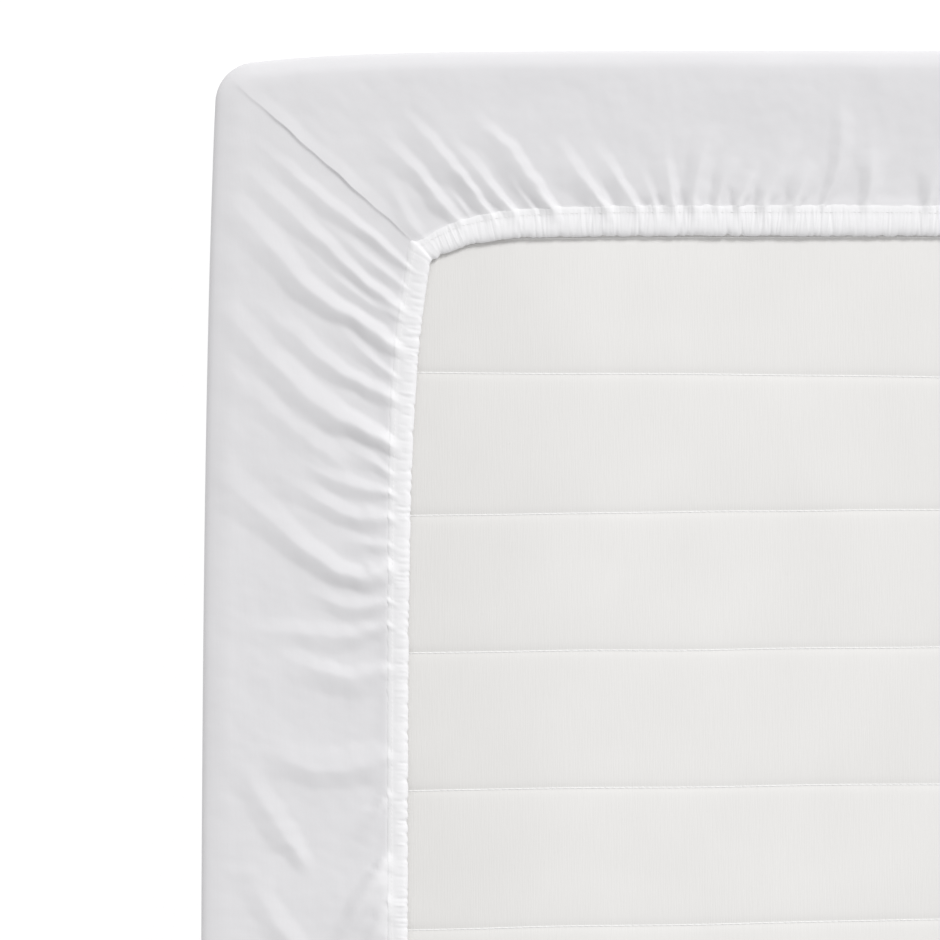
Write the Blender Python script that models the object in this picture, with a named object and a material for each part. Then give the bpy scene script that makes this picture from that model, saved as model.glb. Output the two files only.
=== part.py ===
"""A fitted sheet pulled over a single mattress, which lies with its sleeping side down.

The sheet is one piece of cotton with four sewn corners. It covers the sleeping side and the walls,
turns over the edge and lies in a border on the underside, where elastic inside its hem gathers it
into folds. The mattress is a plain block with stitched channels across its underside.

Metres, +Z up. The origin is the middle of the footprint, on the surface that the object lies on.
+Y is the head end, and the underside of the mattress faces +Z.
"""

from collections import namedtuple
from math import copysign, cos, exp, pi, sin
from random import Random

import bmesh
import bpy
import numpy as np

# The mattress inside, without the sheet.
MATTRESS_HALF_WIDTH = 0.4495
MATTRESS_HALF_LENGTH = 0.9995
MATTRESS_DEPTH = 0.140
MATTRESS_EDGE_RADIUS = 0.026
CHANNEL_PITCH = 0.110  # between the stitched seams of the underside
FIRST_CHANNEL = 0.037  # from the head end to the first seam
CHANNEL_SINK = 0.0014
CHANNEL_SHOULDER = 0.012  # the seam's dip reaches this far to each side
SAME_PLACE = 0.0001

# The cloth.
CLOTH = 0.0015
HEM_CLOTH = 0.0032  # the hem is a casing, turned over and stitched, with the elastic inside
GAP = 0.0010  # between the cloth and the mattress's two flat faces
WALL_GAP = 0.0020  # and round its walls and edges
EDGE_RADIUS = 0.021  # outside of the cloth, where it turns over the mattress's edges
HALF_WIDTH = MATTRESS_HALF_WIDTH + WALL_GAP + CLOTH
HALF_LENGTH = MATTRESS_HALF_LENGTH + WALL_GAP + CLOTH
MATTRESS_FLOOR = CLOTH + GAP / 2  # the mattress presses the flat panel down
FLOOR_TO_UNDERSIDE = CLOTH + GAP + MATTRESS_DEPTH + GAP + CLOTH

# The plan of each level is a rounded rectangle whose sides are drawn in towards its corners:
# by this much at the corner itself, fading along the side over this length.
Plan = namedtuple("Plan", "half_width half_length radius side_draw side_fade end_draw end_fade")
OUTLINE = Plan(HALF_WIDTH, HALF_LENGTH, 0.034, 0.0125, 0.30, 0.009, 0.075)
MATTRESS_PLAN = OUTLINE._replace(
    half_width=MATTRESS_HALF_WIDTH, half_length=MATTRESS_HALF_LENGTH, radius=0.045
)
HEM_OUTSIDE = Plan(0.301, 0.877, 0.008, 0.020, 0.06, 0.027, 0.036)
HEM_INSIDE = Plan(0.285, 0.853, 0.005, 0.018, 0.10, 0.018, 0.030)

# The main folds of the head end's -X corner. Each runs from the hem outwards to its tip. Places are
# from the -X side and from the head end, bow is how far the middle swings towards the corner.
Fold = namedtuple("Fold", "hem_side hem_head tip_side tip_head bow height width")
CORNER_FOLDS = (
    Fold(0.165, 0.172, 0.058, 0.085, 0.000, 0.0035, 0.0070),
    Fold(0.161, 0.188, 0.115, 0.151, 0.000, 0.0030, 0.0060),
    Fold(0.161, 0.211, 0.051, 0.110, 0.002, 0.0050, 0.0080),
    Fold(0.155, 0.215, 0.099, 0.173, 0.000, 0.0025, 0.0060),
    Fold(0.156, 0.238, 0.038, 0.138, -0.006, 0.0070, 0.0095),
    Fold(0.153, 0.259, 0.118, 0.228, 0.000, 0.0025, 0.0060),
    Fold(0.156, 0.279, 0.054, 0.210, -0.008, 0.0050, 0.0085),
    Fold(0.156, 0.318, 0.027, 0.221, -0.008, 0.0075, 0.0105),
    Fold(0.153, 0.339, 0.122, 0.322, 0.000, 0.0030, 0.0060),
    Fold(0.150, 0.354, 0.091, 0.337, -0.004, 0.0035, 0.0070),
    Fold(0.150, 0.375, 0.078, 0.353, -0.006, 0.0045, 0.0080),
    Fold(0.150, 0.397, 0.118, 0.396, 0.000, 0.0025, 0.0060),
    Fold(0.150, 0.418, 0.022, 0.350, -0.020, 0.0070, 0.0110),
    Fold(0.148, 0.443, 0.096, 0.441, -0.004, 0.0030, 0.0075),
    Fold(0.150, 0.462, 0.058, 0.466, -0.003, 0.0040, 0.0090),
    Fold(0.144, 0.498, 0.070, 0.490, -0.005, 0.0050, 0.0105),
    Fold(0.124, 0.578, 0.050, 0.574, 0.000, 0.0045, 0.0170),
    Fold(0.062, 0.617, 0.036, 0.586, 0.000, 0.0040, 0.0090),
    Fold(0.150, 0.604, 0.136, 0.622, 0.000, 0.0035, 0.0080),
    Fold(0.147, 0.665, 0.120, 0.706, 0.000, 0.0065, 0.0100),
    Fold(0.207, 0.137, 0.152, 0.078, -0.003, 0.0055, 0.0090),
    Fold(0.216, 0.132, 0.205, 0.119, 0.000, 0.0020, 0.0050),
    Fold(0.230, 0.127, 0.175, 0.062, 0.001, 0.0055, 0.0085),
    Fold(0.253, 0.130, 0.210, 0.084, -0.002, 0.0055, 0.0085),
    Fold(0.281, 0.124, 0.230, 0.063, 0.000, 0.0060, 0.0090),
    Fold(0.327, 0.130, 0.294, 0.085, 0.001, 0.0050, 0.0085),
    Fold(0.349, 0.124, 0.328, 0.094, 0.000, 0.0045, 0.0080),
    Fold(0.382, 0.128, 0.379, 0.092, 0.000, 0.0045, 0.0080),
    Fold(0.400, 0.125, 0.406, 0.081, 0.000, 0.0050, 0.0085),
    Fold(0.418, 0.126, 0.432, 0.094, 0.000, 0.0040, 0.0075),
    Fold(0.432, 0.128, 0.440, 0.112, 0.000, 0.0035, 0.0070),
    Fold(0.453, 0.126, 0.461, 0.098, 0.000, 0.0045, 0.0080),
)
Ridge = namedtuple("Ridge", "hem tip bow height width")
TABLE_REACH_DOWN = 0.72  # the table serves the -X side as far as this from the head end
TABLE_REACH_ACROSS = 0.46  # and the head end as far as this from the -X side
MOST_LIFT = 0.0095  # where folds meet, the cloth rises no further than this
TIP_WIDENING = 0.5  # share by which a fold is wider at its tip than at the hem
TIP_LOSS = 0.75  # share of its height that a fold has lost at its tip
LOSS_POWER = 1.6
END_ROUNDING = 0.014  # the ends of a fold fade out over this
HEM_MIDDLE_SHARE = 0.5  # how much of the folds' lift still shows in the middle of the hem
HEM_EDGE_SHARE = 0.3

# The folds past the table follow its habit and are spread by a seeded generator.
FOLD_SEED = 11
FOLD_SPACING = (0.028, 0.052)
FOLD_REACH = (0.35, 0.95)  # share of the border's width
FOLD_HEIGHT = (0.0030, 0.0068)
FOLD_BOW = (-0.006, 0.004)
FOLD_LEAN = 0.85  # how far a fold leans to the corner for each metre outwards, next to a corner
LEAN_FADE = 0.33
LEAN_SPREAD = 0.22
CORNER_CLEARANCE = 0.02

# How finely the cloth is laid out, as (columns of a side, columns of an end, steps of a corner),
# and the share of it that is kept when it is simplified.
SHEET_GRID = (200, 90, 7)
BORDER_STEPS = 13
TURN_STEPS = 4
SHEET_KEEP = 0.130
MATTRESS_GRID = (14, 8, 4)

COTTON_COLOUR = (0.82, 0.82, 0.83, 1.0)
COTTON_ROUGHNESS = 0.85
TICKING_COLOUR = (0.80, 0.78, 0.75, 1.0)
TICKING_ROUGHNESS = 0.90


def clear_scene():
    for obj in list(bpy.data.objects):
        bpy.data.objects.remove(obj, do_unlink=True)


def make_material(name, colour, roughness):
    material = bpy.data.materials.new(name)
    material.use_nodes = True
    shader = material.node_tree.nodes["Principled BSDF"]
    shader.inputs["Base Color"].default_value = colour
    shader.inputs["Roughness"].default_value = roughness
    shader.inputs["Metallic"].default_value = 0.0
    return material


def quarter(plan, columns_long, columns_short, corner_steps):
    """The +X, +Y quarter of a plan, from the middle of its +X side round to the middle of its end."""
    corner_x = plan.half_width - plan.side_draw - plan.radius
    corner_y = plan.half_length - plan.end_draw - plan.radius
    side = []
    for i in range(columns_long // 2):
        y = corner_y * i / (columns_long // 2)
        draw = plan.side_draw * exp((y - corner_y) / plan.side_fade)
        side.append((plan.half_width - draw, y))
    arc = []
    for i in range(corner_steps + 1):
        angle = pi / 2 * i / corner_steps
        arc.append((corner_x + plan.radius * cos(angle), corner_y + plan.radius * sin(angle)))
    end = []
    for i in range(columns_short // 2 - 1, -1, -1):
        x = corner_x * i / (columns_short // 2)
        draw = plan.end_draw * exp((x - corner_x) / plan.end_fade)
        end.append((x, plan.half_length - draw))
    return side + arc + end


def loop_points(plan, *columns):
    """The whole plan, anticlockwise from the middle of its +X side."""
    first = quarter(plan, *columns)
    second = [(-x, y) for x, y in reversed(first[:-1])]
    upper = first + second
    lower = [(-x, -y) for x, y in upper[1:-1]]
    return np.array(upper + lower)


def inset(plan, distance):
    """The plan moved inwards by a distance, for the levels where an edge turns over."""
    return plan._replace(
        half_width=plan.half_width - distance,
        half_length=plan.half_length - distance,
        radius=max(plan.radius - distance, 0.004),
    )


def edge_turn(radius, steps):
    """Inset and drop of points round a quarter turn, from upright to flat."""
    angles = [pi / 2 * i / steps for i in range(steps + 1)]
    return [(radius * (1 - cos(a)), radius * (1 - sin(a))) for a in angles]


def place(from_side, from_head):
    """A point of the plan, from its distances to the -X side and to the head end."""
    return np.array((from_side - HALF_WIDTH, HALF_LENGTH - from_head))


def corner_ridges():
    """The folds of the table, as ridges."""
    ridges = []
    for fold in CORNER_FOLDS:
        hem = place(fold.hem_side, fold.hem_head)
        tip = place(fold.tip_side, fold.tip_head)
        ridges.append(Ridge(hem, tip, fold.bow, fold.height, fold.width))
    return ridges


def served_by_table(point):
    from_side = point[0] + HALF_WIDTH
    from_head = HALF_LENGTH - point[1]
    return from_side < TABLE_REACH_ACROSS and from_head < TABLE_REACH_DOWN


def stretch_ridges(rng, along, outward, half_run, border, hem_offset):
    """The folds along one side or end, leaning towards whichever corner is nearer."""
    ridges = []
    reach = half_run - border - CORNER_CLEARANCE
    position = -reach
    while position < reach:
        lean = FOLD_LEAN * exp((abs(position) - half_run) / LEAN_FADE)
        lean += rng.uniform(-LEAN_SPREAD, LEAN_SPREAD)
        length = rng.uniform(*FOLD_REACH) * (border - EDGE_RADIUS)
        hem = along * position + outward * hem_offset
        tip = hem + outward * length + along * copysign(lean, position) * length
        height = rng.uniform(*FOLD_HEIGHT)
        width = 0.6 * height + 0.0055
        ridges.append(Ridge(hem, tip, rng.uniform(*FOLD_BOW), height, width))
        position += rng.uniform(*FOLD_SPACING)
    return ridges


def all_ridges():
    rng = Random(FOLD_SEED)
    x_axis = np.array((1.0, 0.0))
    y_axis = np.array((0.0, 1.0))
    side_border = HALF_WIDTH - HEM_OUTSIDE.half_width
    end_border = HALF_LENGTH - HEM_OUTSIDE.half_length
    others = []
    for sign in (-1, 1):
        others += stretch_ridges(
            rng, y_axis, sign * x_axis, HALF_LENGTH, side_border, HEM_OUTSIDE.half_width
        )
        others += stretch_ridges(
            rng, x_axis, sign * y_axis, HALF_WIDTH, end_border, HEM_OUTSIDE.half_length
        )
    return corner_ridges() + [ridge for ridge in others if not served_by_table(ridge.hem)]


def ridge_lift(points, ridge):
    """How far one fold lifts the cloth: a soft rounded ridge that bows, widens and fades outwards."""
    run = ridge.tip - ridge.hem
    length = np.hypot(*run)
    forward = run / length
    across = np.array((-forward[1], forward[0]))
    if across @ ridge.hem < 0:
        across = -across
    offset = points - ridge.hem
    share = offset @ forward / length
    inside = np.clip(share, 0, 1)
    aside = offset @ across - ridge.bow * 4 * inside * (1 - inside)
    beyond = np.abs(share - inside) * length
    width = ridge.width * (1 + TIP_WIDENING * inside)
    height = ridge.height * (1 - TIP_LOSS * inside**LOSS_POWER)
    return height * np.exp(-((aside / width) ** 2) - (beyond / END_ROUNDING) ** 2)


def lift_of_folds(points, ridges):
    lift = sum(ridge_lift(points, ridge) for ridge in ridges)
    return np.minimum(lift, MOST_LIFT)


def add_ring(bm, points, heights):
    return [bm.verts.new((x, y, z)) for (x, y), z in zip(points, heights)]


def join_rings(bm, lower, upper):
    count = len(lower)
    for i in range(count):
        j = (i + 1) % count
        bm.faces.new((lower[i], lower[j], upper[j], upper[i]))


def make_object(bm, name, material):
    mesh = bpy.data.meshes.new(name)
    bm.to_mesh(mesh)
    bm.free()
    mesh.materials.append(material)
    mesh.shade_smooth()
    obj = bpy.data.objects.new(name, mesh)
    bpy.context.collection.objects.link(obj)
    return obj


def make_mattress():
    """The mattress, a block with rounded edges and shallow stitched channels across its underside."""
    top = MATTRESS_FLOOR + MATTRESS_DEPTH
    turn = edge_turn(MATTRESS_EDGE_RADIUS, TURN_STEPS)
    levels = [(cut, MATTRESS_FLOOR + drop) for cut, drop in reversed(turn)]
    levels += [(cut, top - drop) for cut, drop in turn]
    bm = bmesh.new()
    rings = []
    for cut, height in levels:
        points = loop_points(inset(MATTRESS_PLAN, cut), *MATTRESS_GRID)
        rings.append(add_ring(bm, points, [height] * len(points)))
    for lower, upper in zip(rings, rings[1:]):
        join_rings(bm, lower, upper)
    bm.faces.new(reversed(rings[0]))
    bm.faces.new(rings[-1])
    sink_channels(bm, top)
    return make_object(bm, "mattress", make_material("ticking", TICKING_COLOUR, TICKING_ROUGHNESS))


def sink_channels(bm, top):
    """Cut the underside across at each seam and lower the seam's line."""
    flat_end = MATTRESS_HALF_LENGTH - MATTRESS_EDGE_RADIUS - CHANNEL_SHOULDER
    seam = MATTRESS_HALF_LENGTH - FIRST_CHANNEL
    while seam > -flat_end:
        if seam < flat_end:
            for offset in (-CHANNEL_SHOULDER, 0.0, CHANNEL_SHOULDER):
                faces = [f for f in bm.faces if all(v.co.z > top - 2 * CHANNEL_SINK for v in f.verts)]
                edges = {e for f in faces for e in f.edges}
                verts = {v for f in faces for v in f.verts}
                bmesh.ops.bisect_plane(
                    bm,
                    geom=faces + list(edges) + list(verts),
                    plane_co=(0, seam + offset, 0),
                    plane_no=(0, 1, 0),
                )
            for vert in bm.verts:
                if abs(vert.co.y - seam) < SAME_PLACE and vert.co.z > top - SAME_PLACE:
                    vert.co.z -= CHANNEL_SINK
        seam -= CHANNEL_PITCH


def sheet_levels():
    """For each ring of the cloth: its plan, the height of its outside, and its share of the folds."""
    turn = edge_turn(EDGE_RADIUS, TURN_STEPS)
    levels = []
    for cut, drop in reversed(turn):
        levels.append((loop_points(inset(OUTLINE, cut), *SHEET_GRID), drop, 0.0))
    for cut, drop in turn:
        points = loop_points(inset(OUTLINE, cut), *SHEET_GRID)
        levels.append((points, FLOOR_TO_UNDERSIDE - drop, 1 - drop / EDGE_RADIUS))
    border_start = levels[-1][0]
    hem_outside = loop_points(HEM_OUTSIDE, *SHEET_GRID)
    hem_inside = loop_points(HEM_INSIDE, *SHEET_GRID)
    for step in range(1, BORDER_STEPS + 1):
        points = border_start + (hem_outside - border_start) * step / BORDER_STEPS
        levels.append((points, FLOOR_TO_UNDERSIDE, 1.0))
    hem_height = FLOOR_TO_UNDERSIDE + HEM_CLOTH - CLOTH
    levels.append(((hem_outside + hem_inside) / 2, hem_height, HEM_MIDDLE_SHARE))
    levels.append((hem_inside, hem_height, HEM_EDGE_SHARE))
    return levels


def make_sheet():
    """The sheet, laid out as rings from its flat panel outwards, up the walls and in to the hem."""
    ridges = all_ridges()
    bm = bmesh.new()
    rings = []
    for points, height, share in sheet_levels():
        rings.append(add_ring(bm, points, height + share * lift_of_folds(points, ridges)))
    for lower, upper in zip(rings, rings[1:]):
        join_rings(bm, lower, upper)
    bm.faces.new(reversed(rings[0]))
    bm.verts.index_update()
    flat_verts = [v.index for v in rings[0]]
    hem_verts = [v.index for ring in rings[-2:] for v in ring]
    sheet = make_object(bm, "fitted_sheet", make_material("cotton", COTTON_COLOUR, COTTON_ROUGHNESS))
    sheet.vertex_groups.new(name="flat").add(flat_verts, 1.0, "REPLACE")
    sheet.vertex_groups.new(name="hem").add(hem_verts, 1.0, "REPLACE")

    simpler = sheet.modifiers.new("simpler", "DECIMATE")
    simpler.decimate_type = "COLLAPSE"
    simpler.ratio = SHEET_KEEP
    simpler.use_collapse_triangulate = True
    simpler.vertex_group = "flat"
    simpler.invert_vertex_group = True

    cloth = sheet.modifiers.new("cloth", "SOLIDIFY")
    cloth.thickness = HEM_CLOTH
    cloth.thickness_vertex_group = CLOTH / HEM_CLOTH
    cloth.vertex_group = "hem"
    cloth.offset = -1.0
    cloth.use_even_offset = False
    return sheet


clear_scene()
make_mattress()
make_sheet()
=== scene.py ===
from collections import namedtuple
from math import copysign, cos, exp, hypot, pi, radians, sin, sqrt
from random import Random

import bmesh
import bpy
import numpy as np
from mathutils import Matrix, Vector, noise


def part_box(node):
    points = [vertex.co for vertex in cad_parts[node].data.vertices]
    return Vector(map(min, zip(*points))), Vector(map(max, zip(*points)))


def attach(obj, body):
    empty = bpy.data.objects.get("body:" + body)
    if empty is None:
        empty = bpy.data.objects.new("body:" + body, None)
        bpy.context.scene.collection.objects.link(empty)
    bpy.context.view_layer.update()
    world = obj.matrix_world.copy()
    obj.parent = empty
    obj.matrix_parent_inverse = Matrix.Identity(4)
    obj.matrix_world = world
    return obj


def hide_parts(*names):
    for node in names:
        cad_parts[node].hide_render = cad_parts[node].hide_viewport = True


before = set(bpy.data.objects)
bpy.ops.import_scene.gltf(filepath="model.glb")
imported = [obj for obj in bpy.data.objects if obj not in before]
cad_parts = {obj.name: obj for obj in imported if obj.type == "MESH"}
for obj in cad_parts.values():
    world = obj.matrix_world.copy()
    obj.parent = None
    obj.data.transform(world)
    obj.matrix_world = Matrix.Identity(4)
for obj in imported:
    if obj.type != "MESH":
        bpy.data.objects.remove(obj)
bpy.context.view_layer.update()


# The mattress: a block of foam in an off-white woven ticking cover. Rows of stitches across it pull
# the ticking down into shallow channels. It lies on its sleeping side, with the sheet drawn over it.
mattress_low, mattress_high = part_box("mattress")
mattress_half_width = mattress_high.x
mattress_half_length = mattress_high.y
mattress_top = mattress_high.z
mattress_corner = 0.045
mattress_edge = 0.026
channel_pitch = 0.110
first_channel = 0.037
channel_steps = (0.0012, 0.0026, 0.0045, 0.0075, 0.012, 0.018, 0.026, 0.035, 0.045)
across_steps = 60
seam_sink = 0.0005
seam_narrow = 0.0032
seam_shoulder = 0.0011
shoulder_reach = 0.013
channel_crown = 0.0010
elastic_press = 0.0008
press_reach = 0.045
seam_slopes = (0.0, 0.004, -0.012, 0.012, 0.011, 0.014, 0.020)
seam_bend = 0.012
seam_top_at = -0.05
opening_half_width = 0.285
opening_half_length = 0.853

# Corners of the mattress are drawn in a little by the tight cloth: by this much at the corner
# itself, fading along the side and the end.
side_draw = 0.0125
side_fade = 0.30
end_draw = 0.009
end_fade = 0.075


def drawn_in(x, y):
    """A point of a straight-sided plan, moved to where the tight corners draw it."""
    from_end = max(mattress_half_length - mattress_corner - abs(y), 0)
    from_side = max(mattress_half_width - mattress_corner - abs(x), 0)
    narrower = side_draw * exp(-from_end / side_fade) * (abs(x) / mattress_half_width) ** 4
    shorter = end_draw * exp(-from_side / end_fade) * (abs(y) / mattress_half_length) ** 8
    return x - copysign(narrower, x), y - copysign(shorter, y)


core_x = mattress_half_width - mattress_corner
core_y = mattress_half_length - mattress_corner


def outward(co):
    """The way out of the block's rounded plan, from any point on its outline."""
    kept = Vector((max(-core_x, min(core_x, co.x)), max(-core_y, min(core_y, co.y))))
    way = Vector((co.x, co.y)) - kept
    return way.normalized() if way.length > 1e-9 else Vector((0, 0))


seam_lines = []
position = mattress_half_length - first_channel
while position > -mattress_half_length + mattress_edge:
    seam_lines.append(position)
    position -= channel_pitch
row_lines = set()
for line in seam_lines:
    row_lines.add(line)
    for step in channel_steps:
        row_lines.add(line + step)
        row_lines.add(line - step)
    row_lines.add(line - channel_pitch / 2)
flat_half_length = mattress_half_length - mattress_edge
row_lines = sorted(y for y in row_lines if abs(y) < flat_half_length - 0.0005)
row_lines = [-flat_half_length] + row_lines + [flat_half_length]

ticking = bmesh.new()
bmesh.ops.create_grid(ticking, x_segments=across_steps, y_segments=len(row_lines) - 1, size=1.0)
ticking.verts.ensure_lookup_table()
flat_half_width = mattress_half_width - mattress_edge
turned = mattress_corner - mattress_edge
for index, vert in enumerate(ticking.verts):
    row, column = divmod(index, across_steps + 1)
    x = flat_half_width * (2 * column / across_steps - 1)
    y = row_lines[row]
    beyond_x = (abs(x) - core_x) / turned
    beyond_y = (abs(y) - core_y) / turned
    if beyond_x > 0 and beyond_y > 0:
        x = copysign(core_x + turned * beyond_x * sqrt(1 - beyond_y**2 / 2), x)
        y = copysign(core_y + turned * beyond_y * sqrt(1 - beyond_x**2 / 2), y)
    vert.co = (x, y, mattress_top)
rim = [e for e in ticking.edges if e.is_boundary]
turn_steps = 6
profile = []
for step in range(1, turn_steps + 1):
    angle = pi / 2 * step / turn_steps
    profile.append((mattress_edge * sin(angle), -mattress_edge * (1 - cos(angle))))
wall_drop = mattress_top - mattress_low.z - mattress_edge
profile.append((mattress_edge, -wall_drop * 0.5))
for step in range(turn_steps + 1):
    angle = pi / 2 * step / turn_steps
    profile.append((mattress_edge * cos(angle), -wall_drop - mattress_edge * sin(angle)))
last_out = 0.0
last_up = 0.0
for out, up in profile:
    grown = bmesh.ops.extrude_edge_only(ticking, edges=rim)["geom"]
    rim = [g for g in grown if isinstance(g, bmesh.types.BMEdge) and g.is_boundary]
    for vert in (g for g in grown if isinstance(g, bmesh.types.BMVert)):
        way = outward(vert.co)
        vert.co.x += way.x * (out - last_out)
        vert.co.y += way.y * (out - last_out)
        vert.co.z += up - last_up
    last_out, last_up = out, up
bmesh.ops.contextual_create(ticking, geom=rim)

for vert in ticking.verts:
    x, y, z = vert.co
    if z > mattress_top - 0.0001:
        nearest = min(range(len(seam_lines)), key=lambda k: abs(seam_lines[k] - y))
        aside = abs(y - seam_lines[nearest])
        slope = seam_slopes[nearest % len(seam_slopes)]
        shift = slope * (x - seam_top_at) - seam_bend * (x - seam_top_at) ** 2
        shift += 0.0012 * noise.noise(Vector((x * 9, nearest * 3.7, 0.0)))
        y += shift * exp(-((aside / 0.030) ** 2))
        z -= seam_sink * exp(-((aside / seam_narrow) ** 2)) + seam_shoulder * exp(-aside / shoulder_reach)
        z += channel_crown * noise.noise(Vector((x * 7, y * 9, 1.3)))
        z += 0.0005 * noise.noise(Vector((x * 70, y * 16, 4.1))) * exp(-aside / 0.014)
        from_hem = min(opening_half_width - abs(x), opening_half_length - abs(y))
        z -= elastic_press * exp(-max(from_hem, 0) / press_reach)
    x, y = drawn_in(x, y)
    vert.co = (x, y, z)
bmesh.ops.recalc_face_normals(ticking, faces=ticking.faces)
mesh = bpy.data.meshes.new("ticking_cover")
ticking.to_mesh(mesh)
ticking.free()
mesh.shade_smooth()
ticking_cover = bpy.data.objects.new("ticking_cover", mesh)
bpy.context.collection.objects.link(ticking_cover)


def new_material(name, colour, roughness, sheen, sheen_roughness):
    """A Principled material with the constants that are the same all over it."""
    material = bpy.data.materials.new(name)
    material.use_nodes = True
    shader = material.node_tree.nodes["Principled BSDF"]
    shader.inputs["Base Color"].default_value = (*colour, 1.0)
    shader.inputs["Roughness"].default_value = roughness
    shader.inputs["Specular IOR Level"].default_value = 0.25
    shader.inputs["Sheen Weight"].default_value = sheen
    shader.inputs["Sheen Roughness"].default_value = sheen_roughness
    return material, shader


def stretched_noise(tree, source, scale, detail, stretch):
    """Noise that runs long along one way of the cloth."""
    mapping = tree.nodes.new("ShaderNodeMapping")
    mapping.inputs["Scale"].default_value = stretch
    texture = tree.nodes.new("ShaderNodeTexNoise")
    texture.inputs["Scale"].default_value = scale
    texture.inputs["Detail"].default_value = detail
    tree.links.new(source, mapping.inputs["Vector"])
    tree.links.new(mapping.outputs["Vector"], texture.inputs["Vector"])
    return texture.outputs["Fac"]


def threads(tree, source, pitch, direction):
    """Rounded threads side by side, at a pitch in metres, running along one way."""
    wave = tree.nodes.new("ShaderNodeTexWave")
    wave.wave_type = "BANDS"
    wave.bands_direction = direction
    wave.wave_profile = "SIN"
    wave.inputs["Scale"].default_value = 2 * pi / (20 * pitch)
    wave.inputs["Distortion"].default_value = 0.6
    wave.inputs["Detail"].default_value = 1.0
    wave.inputs["Detail Scale"].default_value = 3.0
    tree.links.new(source, wave.inputs["Vector"])
    return wave.outputs["Fac"]


def combine(tree, operation, first, second):
    node = tree.nodes.new("ShaderNodeMath")
    node.operation = operation
    for socket, value in zip(node.inputs, (first, second)):
        if isinstance(value, (int, float)):
            socket.default_value = value
        else:
            tree.links.new(value, socket)
    return node.outputs["Value"]


def shaded_colour(tree, shader, factor, dark, light):
    """The base colour, wandering between two near shades."""
    mix = tree.nodes.new("ShaderNodeMix")
    mix.data_type = "RGBA"
    mix.inputs["A"].default_value = (*dark, 1.0)
    mix.inputs["B"].default_value = (*light, 1.0)
    tree.links.new(factor, mix.inputs["Factor"])
    tree.links.new(mix.outputs["Result"], shader.inputs["Base Color"])


def bump(tree, shader, height, distance, strength):
    node = tree.nodes.new("ShaderNodeBump")
    node.inputs["Distance"].default_value = distance
    node.inputs["Strength"].default_value = strength
    tree.links.new(height, node.inputs["Height"])
    tree.links.new(node.outputs["Normal"], shader.inputs["Normal"])


# Painted shade: the ticking's colour is a little greyer toward the sides that the sheet covers, darker the
# further it is past a set distance from the middle.
ticking_light = (0.836, 0.826, 0.813)
ticking_dark = (0.730, 0.720, 0.706)
ticking_thread = 0.0013
painted_shade_from = 0.13
painted_shade_by = 3.4
ticking_material, ticking_shader = new_material("woven_ticking", ticking_light, 0.92, 0.10, 0.6)
tree = ticking_material.node_tree
place = tree.nodes.new("ShaderNodeTexCoord").outputs["Object"]
slubs = stretched_noise(tree, place, 1.0, 3.0, (900.0, 60.0, 60.0))
cloudy = stretched_noise(tree, place, 13.0, 3.0, (1.0, 1.0, 1.0))
weave = threads(tree, place, ticking_thread, "X")
tone = combine(tree, "MULTIPLY", slubs, 0.22)
tone = combine(tree, "ADD", tone, combine(tree, "MULTIPLY", cloudy, 0.48))
parts = tree.nodes.new("ShaderNodeSeparateXYZ")
tree.links.new(place, parts.inputs["Vector"])
from_middle = combine(tree, "ABSOLUTE", parts.outputs["X"], 0.0)
# Painted shade: past a set distance either side of the middle, the colour is pulled toward the darker
# ticking shade.
painted_side_shade = combine(tree, "MAXIMUM", combine(tree, "SUBTRACT", from_middle, painted_shade_from), 0.0)
tone = combine(tree, "SUBTRACT", tone, combine(tree, "MULTIPLY", painted_side_shade, painted_shade_by))
tone = combine(tree, "ADD", tone, 0.34)
shaded_colour(tree, ticking_shader, tone, ticking_dark, ticking_light)
relief = combine(tree, "ADD", combine(tree, "MULTIPLY", weave, 0.10), slubs)
bump(tree, ticking_shader, relief, 0.0004, 0.35)
mesh.materials.append(ticking_material)

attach(ticking_cover, "root")
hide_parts("mattress")


# The fitted sheet: one piece of plain white cotton, notched and sewn up at its four corners. It
# covers the sleeping side and the walls, turns over the edge, and lies in a border on the
# underside. Elastic in its hem draws the border in, so folds run out from the hem.
sheet_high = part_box("fitted_sheet")[1]
half_width = sheet_high.x
half_length = sheet_high.y
border_height = 0.1446
sheet_floor = 0.0004
edge_radius = 0.0215

Plan = namedtuple("Plan", "half_width half_length radius side_draw side_fade end_draw end_fade")
outline = Plan(half_width, half_length, 0.034, side_draw, side_fade, end_draw, end_fade)
hem_outside = Plan(0.301, 0.877, 0.008, 0.020, 0.06, 0.027, 0.036)
hem_inside = Plan(opening_half_width, opening_half_length, 0.005, 0.018, 0.10, 0.018, 0.030)

near_length = 0.78
corner_steps = np.array((0, 0.1, 0.2, 0.3, 0.38, 0.44, 0.48, 0.5, 0.52, 0.56, 0.62, 0.7, 0.8, 0.9, 1))


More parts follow.
